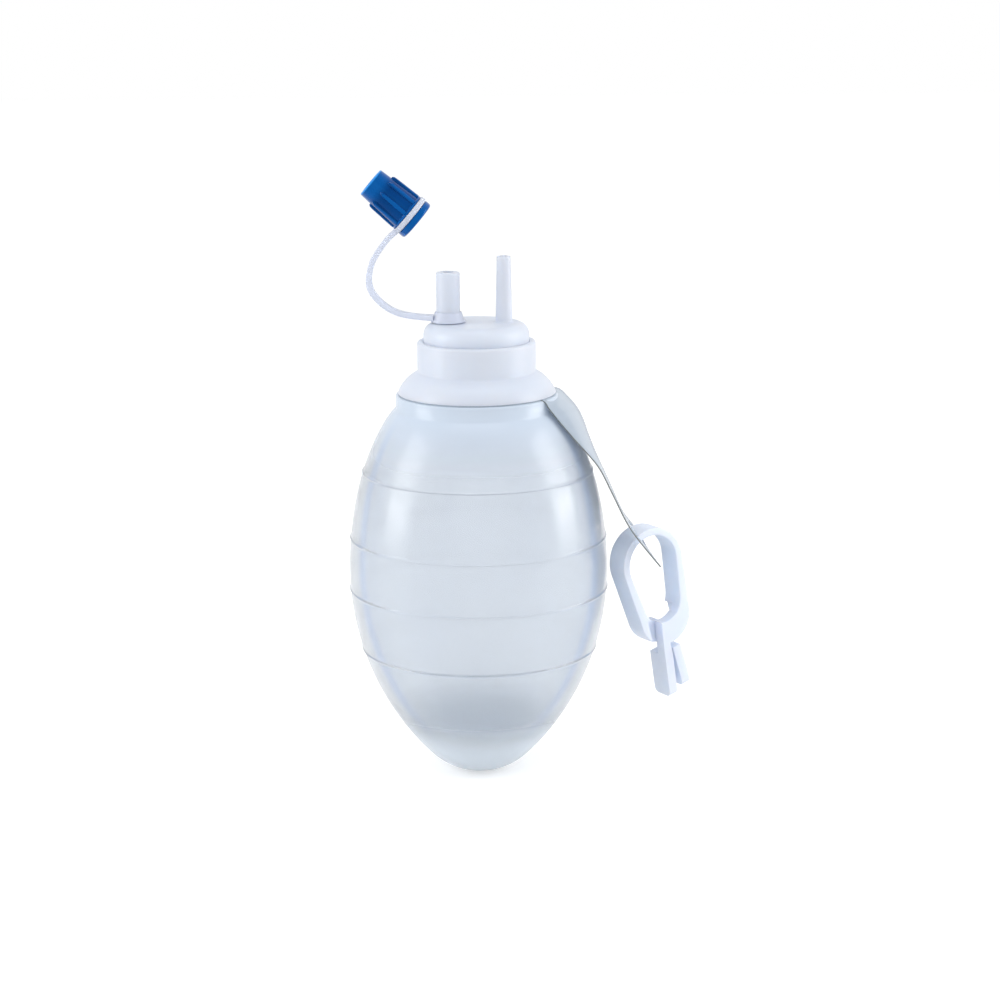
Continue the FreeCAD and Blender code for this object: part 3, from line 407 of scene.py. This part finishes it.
# The bulb
def egg_profile(inset, flank_turn, shoulder_turn, marked):
    """Points from the lowest point up the side, on the same tangent arcs as the CAD bulb."""
    flank = LOWER_FLANK_RADIUS - inset
    widest = BULB_RADIUS - inset
    base_turn = 90 - flank_turn
    base_sine = math.sin(math.radians(base_turn))
    base = (widest - flank * (1 - base_sine)) / base_sine
    depth = flank * math.sin(math.radians(flank_turn)) + base * (1 - math.cos(math.radians(base_turn)))
    x, z, heading = 0.0, WIDEST_HEIGHT - depth, 0.0
    arcs = [
        (base, base_turn),
        (flank, flank_turn),
        (UPPER_FLANK_RADIUS - inset, UPPER_FLANK_TURN),
        (HAUNCH_RADIUS - inset, HAUNCH_TURN),
        (SHOULDER_RADIUS - inset, shoulder_turn),
    ]
    points = [(x, z)]
    for radius, turn in arcs:
        centre = (x - radius * math.sin(heading), z + radius * math.cos(heading))
        length = radius * math.radians(turn)
        spacing = 0.12 if marked else 1.2
        steps = max(6, round(length / spacing))
        for step in range(1, steps + 1):
            angle = heading + math.radians(turn) * step / steps
            points.append((centre[0] + radius * math.sin(angle), centre[1] - radius * math.cos(angle)))
        heading += math.radians(turn)
        x, z = points[-1]
    if not marked:
        return points
    raised = []
    for number, (x, z) in enumerate(points):
        near = min(abs(z - height) for height in MARK_HEIGHTS)
        if near > 1.2 and number % 10 and number not in (0, len(points) - 1):
            continue
        rise = sum(MARK_RISE * math.exp(-((z - height) / MARK_SPREAD) ** 2) for height in MARK_HEIGHTS)
        raised.append((x + rise, z))
    return raised


def make_bulb():
    outer = egg_profile(0, 44.7, 15.0, True)
    shoulder_x = outer[-1][0]
    outer = outer[:-1] + rounded(
        [(shoulder_x, outer[-1][1], 0), (shoulder_x, SEAT_HEIGHT, 0.5), (NECK_RADIUS, SEAT_HEIGHT, 0.4),
         (NECK_RADIUS, NECK_TOP, 0.2), (NECK_BORE, NECK_TOP, 0.2)], closed=False)
    inner = egg_profile(BULB_WALL, 33.0, 26.0, False)
    inner_top = inner[-1]
    blend = rounded([(NECK_BORE, NECK_TOP, 0), (NECK_BORE, inner_top[1], 2.0), (*inner_top, 0)],
                    closed=False)
    bm = bmesh.new()
    add_lathe(bm, outer + blend[1:] + list(reversed(inner[:-1])), steps=192, close=False)
    piece = new_object("bulb_body", finish_mesh(bm, "bulb_body", 50))
    dress(piece, SILICONE)
    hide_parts("bulb")
    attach(piece, "reservoir")


make_bulb()


# The neck fitting
def make_neck_fitting():
    profile = rounded(
        [(NECK_RADIUS + 0.05, -5.9, 0.2), (20.3, -5.9, 0.35)]
        + [(x, z, 0) for x, z in arc_points((11.4, -9.2), 9.5, 22.0, 62.5, 12)]
        + [(15.2, -0.35, 1.0), (15.2, 7.4, 0.9), (13.6, 7.4, 0.25), (13.6, 6.0, 0.1),
           (NECK_RADIUS + 0.05, 6.0, 0.1)])
    bm = bmesh.new()
    add_lathe(bm, profile)
    piece = new_object("neck_collar", finish_mesh(bm, "neck_collar"))
    dress(piece, NECK_PLASTIC)
    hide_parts("neck_fitting")
    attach(piece, "reservoir")


make_neck_fitting()

dress(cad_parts["port_insert"], NECK_PLASTIC)
dress(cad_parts["inlet_valve"], VALVE_RUBBER)
dress(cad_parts["clip"], CLIP_PLASTIC)


# The cap, made mouth down on its own axis and then placed in the open pose
def add_rib(bm, angle):
    """One grip rib: a round-nosed bar that fades into the barrel at the narrow end."""
    rows = []
    for z, out, half in ((3.9, 5.2, 0.55), (4.4, 5.22, 0.6), (8.0, 5.1, 0.58), (11.0, 4.98, 0.52),
                         (11.7, 4.85, 0.42), (12.1, 4.5, 0.25)):
        row = []
        for side, reach in ((-1.25, 3.9), (-1.0, out - 0.45), (-0.75, out - 0.14), (0.0, out),
                            (0.75, out - 0.14), (1.0, out - 0.45), (1.25, 3.9)):
            x, y = reach, side * half
            row.append(bm.verts.new((
                (x * math.cos(angle) - y * math.sin(angle)) * MM,
                (x * math.sin(angle) + y * math.cos(angle)) * MM, z * MM)))
        rows.append(row)
    for low, high in zip(rows, rows[1:]):
        for number in range(len(low) - 1):
            bm.faces.new((low[number], low[number + 1], high[number + 1], high[number]))
        bm.faces.new((low[-1], low[0], high[0], high[-1]))
    bm.faces.new(rows[0])
    bm.faces.new(rows[-1])


def make_cap():
    profile = rounded([
        (1.35, 3.2, 0.1), (1.35, 10.5, 0.3), (3.3, 10.5, 0.4), (3.3, 3.2, 0.1), (3.55, 3.2, 0.1),
        (3.55, 0.0, 0.3), (5.35, 0.0, 0.75),
        (5.35, 1.8, 0.3), (4.15, 1.8, 0.1), (4.15, 3.34, 0.1), (5.2, 3.34, 0.15), (5.2, 3.7, 0.2),
        (4.65, 4.1, 0.2), (3.98, 15.5, 0.4), (3.15, 15.5, 0.25), (3.15, 14.7, 0.2), (0.0, 14.7, 0)],
        closed=False)
    profile = [(0.0, 3.2)] + profile
    bm = bmesh.new()
    add_lathe(bm, profile, steps=96, close=False)
    for number in range(8):
        add_rib(bm, 2 * math.pi * number / 8)
    bm.transform(cap_placement())
    piece = new_object("cap_shell", finish_mesh(bm, "cap_shell", 40))
    dress(piece, CAP_PLASTIC)
    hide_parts("cap")
    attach(piece, "cap_body")


make_cap()


# The tether, one moulded strip from the spout's foot to the cap's groove
TETHER_LINE = [
    (-10.9, 13.35), (-13.5, 13.55), (-17.1, 14.0), (-20.0, 14.75), (-22.2, 15.85), (-24.2, 17.4),
    (-25.9, 19.3), (-26.75, 20.9), (-27.07, 22.27), (-27.0, 24.4), (-26.3, 27.3), (-25.1, 29.6),
    (-23.4, 32.0), (-22.0, 33.7),
]


def make_tether():
    cap_at = cap_placement()
    ring_centre = cap_at @ Vector((0, 0, 2.57 * MM)) / MM
    into_ring = (cap_at.to_3x3() @ Vector((-1, 0, 0))) * 4.9
    end = ring_centre + into_ring
    line = smooth_line([Vector((x, 0, z)) for x, z in TETHER_LINE] + [end], 6)
    bm = bmesh.new()
    rows = []
    for number, point in enumerate(line):
        before = line[max(number - 1, 0)]
        after = line[min(number + 1, len(line) - 1)]
        way = (after - before).normalized()
        across = Vector((-way.z, 0, way.x))
        share = number / (len(line) - 1)
        half_thickness = 0.68 + 0.12 * math.sin(math.pi * share) ** 2
        half_width = 1.5 + 0.5 * max(0.0, 1 - share / 0.08) + 0.4 * max(0.0, 1 - (1 - share) / 0.06)
        row = []
        for side, reach in rounded(
            [(-half_width, -half_thickness, 0.3), (half_width, -half_thickness, 0.3),
             (half_width, half_thickness, 0.3), (-half_width, half_thickness, 0.3)], 3):
            spot = point + Vector((0, side, 0)) + across * reach
            row.append(bm.verts.new(spot * MM))
        rows.append(row)
    for low, high in zip(rows, rows[1:]):
        for number in range(len(low)):
            after = (number + 1) % len(low)
            bm.faces.new((low[number], low[after], high[after], high[number]))
    bm.faces.new(rows[0])
    bm.faces.new(rows[-1])
    foot = rounded([(3.31, 12.32, 0.05), (4.5, 12.32, 0.1), (4.0, 13.1, 0.8), (3.45, 14.85, 0.1),
                    (3.31, 14.85, 0.05)])
    add_lathe(bm, foot, (-PORT_OFFSET, 0), 72)
    ring = bmesh.new()
    add_lathe(ring, rounded([(4.21, 1.87, 0.1), (5.6, 1.87, 0.4), (5.6, 3.27, 0.4), (4.21, 3.27, 0.1)]),
              steps=72)
    ring.transform(cap_at)
    carrier = bpy.data.meshes.new("carrier")
    ring.to_mesh(carrier)
    ring.free()
    bm.from_mesh(carrier)
    bpy.data.meshes.remove(carrier)
    piece = new_object("tether_strip", finish_mesh(bm, "tether_strip", 40))
    dress(piece, TETHER_PLASTIC)
    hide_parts("tether_spout_end", "tether_cap_end")
    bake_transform(piece)


make_tether()


# The film strap: a washer under the flange and a tab whose two edges fall differently
NEAR_EDGE = [
    (13.5, -6.08), (16.7, -6.3), (18.2, -8.3), (21.0, -11.9), (25.0, -16.7), (30.5, -23.2),
    (34.0, -30.0), (37.5, -37.3), (40.2, -41.6), (43.5, -45.9), (46.6, -49.7),
]
FAR_EDGE = [
    (15.0, -6.08), (20.6, -6.2), (23.3, -8.3), (25.9, -11.4), (27.5, -14.6), (28.9, -18.6),
    (30.9, -23.6), (34.3, -31.2), (37.7, -38.9), (41.3, -43.9), (45.25, -50.8),
]
NEAR_SIDE, FAR_SIDE = -12.3, 6.1
FILM_THICKNESS = 0.35
CROWN, CROWN_AT = 1.1, 0.28
EYE = (41.564, -3.1, -42.602)
EYE_HALF_LENGTH, EYE_HALF_HEIGHT, EYE_ROUND = 5.0, 3.5, 3.4
KNIFE_REACH = 4
TAIL_ANGLE = 52.7


def make_film():
    near = smooth_line([Vector((x, NEAR_SIDE, z)) for x, z in NEAR_EDGE], 5)
    far = smooth_line([Vector((x, FAR_SIDE, z)) for x, z in FAR_EDGE], 5)
    bm = bmesh.new()
    rows = []
    across = 14
    for number, (a, b) in enumerate(zip(near, far)):
        along = number / (len(near) - 1)
        row = []
        for step in range(across + 1):
            t = step / across
            spot = a.lerp(b, t)
            lift = CROWN * math.sin(math.pi * t) * max(0.0, 1 - abs(along - CROWN_AT) / CROWN_AT)
            spot += Vector((lift * 0.8, 0, lift * 0.5))
            row.append(bm.verts.new(spot * MM))
        rows.append(row)
    for low, high in zip(rows, rows[1:]):
        for step in range(across):
            bm.faces.new((low[step], low[step + 1], high[step + 1], high[step]))
    bmesh.ops.recalc_face_normals(bm, faces=bm.faces)
    mesh = bpy.data.meshes.new("film_strap")
    bm.to_mesh(mesh)
    bm.free()
    mesh.materials.append(FILM)
    mesh.materials.append(FILM_EDGE)
    piece = new_object("film_strap", mesh)
    solid = piece.modifiers.new("thickness", "SOLIDIFY")
    solid.thickness = FILM_THICKNESS * MM
    solid.offset = 0
    solid.material_offset_rim = 1
    cutter = bmesh.new()
    sides = ((-1, -1), (1, -1), (1, 1), (-1, 1))
    outline = rounded([(x * EYE_HALF_LENGTH, z * EYE_HALF_HEIGHT, EYE_ROUND) for x, z in sides], 8)
    low = [cutter.verts.new((x * MM, z * MM, -KNIFE_REACH * MM)) for x, z in outline]
    high = [cutter.verts.new((x * MM, z * MM, KNIFE_REACH * MM)) for x, z in outline]
    for number in range(len(low)):
        after = (number + 1) % len(low)
        cutter.faces.new((low[number], low[after], high[after], high[number]))
    cutter.faces.new(low)
    cutter.faces.new(high)
    bmesh.ops.recalc_face_normals(cutter, faces=cutter.faces)
    cutter.transform(
        Matrix.Translation(Vector(EYE) * MM) @ Matrix.Rotation(math.radians(TAIL_ANGLE), 4, "Y")
        @ Matrix.Rotation(math.radians(90), 4, "Z"))
    cutter_mesh = bpy.data.meshes.new("eye_cutter")
    cutter.to_mesh(cutter_mesh)
    cutter.free()
    knife = new_object("eye_cutter", cutter_mesh)
    cut = piece.modifiers.new("eye", "BOOLEAN")
    cut.object = knife
    cut.operation = "DIFFERENCE"
    cut.solver = "EXACT"
    depsgraph = bpy.context.evaluated_depsgraph_get()
    shaped = bpy.data.meshes.new_from_object(piece.evaluated_get(depsgraph))
    piece.modifiers.clear()
    bpy.data.objects.remove(knife)
    bm = bmesh.new()
    bm.from_mesh(shaped)
    add_lathe(bm, [(13.0, -6.24), (20.2, -6.24), (20.2, -5.91), (13.0, -5.91)], steps=96)
    piece.data = finish_mesh(bm, "film_strap", 40)
    for material in (FILM, FILM_EDGE):
        piece.data.materials.append(material)
    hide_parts("hang_strap")
    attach(piece, "reservoir")


make_film()


# Floor, light and camera
def make_floor():
    bm = bmesh.new()
    bmesh.ops.create_grid(bm, x_segments=2, y_segments=2, size=3.0)
    mesh = bpy.data.meshes.new("floor")
    bm.to_mesh(mesh)
    bm.free()
    floor = new_object("floor", mesh)
    floor.location.z = FLOOR_HEIGHT * MM
    material, nodes, links, shader = new_material("pale_floor")
    cloud = add_noise(nodes, links, 3.0)
    tint = add_ramp(nodes, links, cloud.outputs["Fac"], [(0.0, grey(0.78)), (1.0, grey(0.8))])
    links.new(tint, shader.inputs["Base Color"])
    shader.inputs["Roughness"].default_value = 0.9
    shader.inputs["Specular IOR Level"].default_value = 0.0
    add_seen_glow(nodes, links, shader, 0.42)
    dress(floor, material)


def seen_ray(nodes, links):
    """1 for rays from the camera and for rays seen in or through a glossy surface."""
    path = nodes.new("ShaderNodeLightPath")
    camera, glossy = path.outputs["Is Camera Ray"], path.outputs["Is Glossy Ray"]
    direct = add_math(nodes, links, "MAXIMUM", camera, glossy)
    return add_math(nodes, links, "MAXIMUM", direct, path.outputs["Is Transmission Ray"])


def add_seen_glow(nodes, links, shader, strength):
    shader.inputs["Emission Color"].default_value = (1, 1, 1, 1)
    level = nodes.new("ShaderNodeMath")
    level.operation = "MULTIPLY"
    level.inputs[1].default_value = strength
    links.new(seen_ray(nodes, links), level.inputs[0])
    links.new(level.outputs[0], shader.inputs["Emission Strength"])


def make_world():
    world = bpy.data.worlds.new("studio")
    bpy.context.scene.world = world
    world.use_nodes = True
    nodes, links = world.node_tree.nodes, world.node_tree.links
    back = nodes["Background"]
    back.inputs["Color"].default_value = (1, 1, 1, 1)
    level = nodes.new("ShaderNodeMapRange")
    level.inputs["To Min"].default_value = 0.75
    level.inputs["To Max"].default_value = 1.0
    links.new(seen_ray(nodes, links), level.inputs["Value"])
    links.new(level.outputs["Result"], back.inputs["Strength"])


def make_lamp(name, spot, aim, size, power):
    data = bpy.data.lights.new(name, "AREA")
    data.shape = "RECTANGLE"
    data.size, data.size_y = size
    data.energy = power
    lamp = bpy.data.objects.new(name, data)
    bpy.context.scene.collection.objects.link(lamp)
    lamp.location = spot
    lamp.rotation_euler = (Vector(aim) - Vector(spot)).to_track_quat("-Z", "Y").to_euler()


CAMERA_DISTANCE = 618.8
CAMERA_PITCH = math.radians(12.94)
CAMERA_ROLL = math.radians(0.58)
CAMERA_YAW = math.atan(22.03 / 2386.0)
AIM_HEIGHT = -34.49
FOCAL_LENGTH = 2386.0 * 36 / 1000


def make_camera():
    data = bpy.data.cameras.new("camera")
    data.lens = FOCAL_LENGTH
    data.sensor_width = 36
    camera = bpy.data.objects.new("camera", data)
    bpy.context.scene.collection.objects.link(camera)
    back = Vector((0, -math.cos(CAMERA_PITCH), math.sin(CAMERA_PITCH)))
    look = (-back).to_track_quat("-Z", "Y").to_matrix().to_4x4()
    turn = Matrix.Rotation(-CAMERA_YAW, 4, "Y") @ Matrix.Rotation(-CAMERA_ROLL, 4, "Z")
    spot = Vector((0, 0, AIM_HEIGHT * MM)) + back * CAMERA_DISTANCE * MM
    camera.matrix_world = Matrix.Translation(spot) @ look @ turn
    bpy.context.scene.camera = camera


make_floor()
make_world()
LAMP_AIM = (0, 0, -0.04)
LAMPS = [
    ("left_softbox", (-0.75, -0.13, 0.24), (0.36, 0.5), 1.95),
    ("right_softbox", (0.76, -0.03, 0.24), (0.36, 0.5), 2.1),
    ("top_softbox", (0, -0.2, 0.8), (0.7, 0.3), 1.2),
    ("left_low_softbox", (-0.75, -0.13, 0.0), (0.3, 0.17), 0.4),
    ("right_low_softbox", (0.76, -0.03, 0.0), (0.3, 0.17), 0.5),
    ("front_softbox", (0, -0.95, 0.1), (0.9, 0.9), 1.6),
]
for lamp_name, lamp_spot, lamp_size, lamp_power in LAMPS:
    make_lamp(lamp_name, lamp_spot, LAMP_AIM, lamp_size, lamp_power)
make_camera()

bpy.context.scene.view_settings.view_transform = "Standard"
